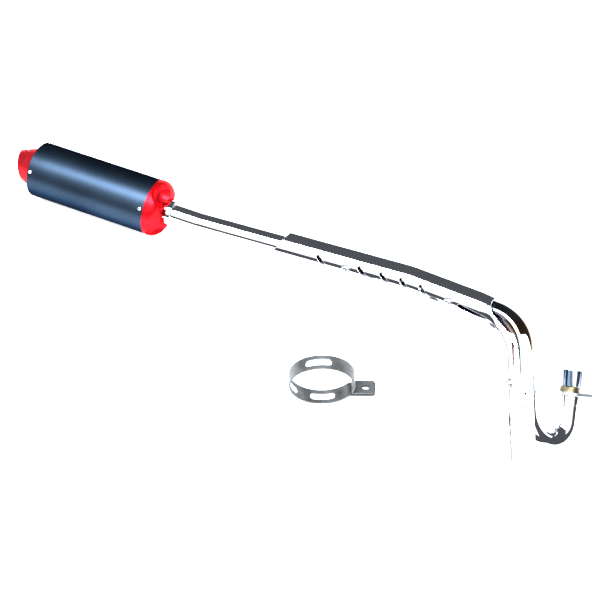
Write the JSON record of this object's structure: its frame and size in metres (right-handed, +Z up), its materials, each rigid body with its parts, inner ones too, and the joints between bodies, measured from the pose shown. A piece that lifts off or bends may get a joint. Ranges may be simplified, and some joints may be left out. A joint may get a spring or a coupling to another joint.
{
  "type": "racing exhaust system",
  "caption": "Small motorcycle racing exhaust: bent chrome header with slotted heat shield, black silencer with red end caps, loose oval port flange and a slotted band clamp.",
  "frame": {"origin": "centre of the bottom of the bounding box, on the floor that the system lies on", "axes": "+X along the length, from the silencer towards the port end; +Z up, out of the heat shield's side"},
  "size_m": [0.778, 0.5194, 0.0961],
  "materials": {
    "chrome": "polished chrome-plated steel tube and sheet",
    "weld_steel": "plated over weld bead and welded bosses",
    "heat_tinted_collar": "bronze-tinted turned collar",
    "flange_steel": "zinc-plated laser-cut plate",
    "fastener_steel": "bright zinc-plated fasteners",
    "inner_steel": "mill-finish perforated steel tube",
    "packing_wool": "glass-fibre packing",
    "black_sleeve": "satin black anodised aluminium",
    "red_anodised": "bright red anodised machined aluminium",
    "zinc_band": "grainy bead-blasted zinc-plated band"
  },
  "bodies": {
    "header": {"header_pipe": "chrome", "tail_pipe": "chrome", "pipe_weld": "weld_steel", "head_sleeve": "chrome", "gasket_collar": "heat_tinted_collar", "port_spigot": "chrome", "neck_ring": "chrome", "heat_shield": "chrome", "shield_boss_1": "weld_steel", "shield_washer_1": "fastener_steel", "shield_screw_1": "fastener_steel", "shield_boss_2": "weld_steel", "shield_washer_2": "fastener_steel", "shield_screw_2": "fastener_steel", "shield_boss_3": "weld_steel", "shield_washer_3": "fastener_steel", "shield_screw_3": "fastener_steel"},
    "silencer": {"can_sleeve": "black_sleeve", "inlet_cap": "red_anodised", "outlet_cap": "red_anodised", "perforated_core": "inner_steel", "packing_wool": "packing_wool", "inlet_neck": "chrome", "baffle_screw": "fastener_steel", "rivet_inlet_1": "fastener_steel", "rivet_inlet_2": "fastener_steel", "rivet_inlet_3": "fastener_steel", "rivet_inlet_4": "fastener_steel", "rivet_outlet_1": "fastener_steel", "rivet_outlet_2": "fastener_steel", "rivet_outlet_3": "fastener_steel", "rivet_outlet_4": "fastener_steel"},
    "baffle": {"baffle_insert": "inner_steel"},
    "flange": {"header_flange": "flange_steel"},
    "clamp": {"mounting_clamp": "zinc_band"}
  },
  "joints": [
    {"name": "silencer_slip", "type": "slide", "parent": "header", "child": "silencer", "axis": [-0.9205, 0.3907, 0], "range_m": [0, 0.04]},
    {"name": "baffle_pull", "type": "slide", "parent": "silencer", "child": "baffle", "axis": [-0.9205, 0.3907, 0], "range_m": [0, 0.08]},
    {"name": "flange_swivel", "type": "hinge", "parent": "header", "child": "flange", "pos_m": [0.35888, -0.16037, 0.04093], "axis": [0.1161, 0.8059, 0.5805], "continuous": true},
    {"name": "clamp_lift", "type": "slide", "parent": "header", "child": "clamp", "axis": [0, 0, 1], "range_m": [0, 0.15]}
  ]
}
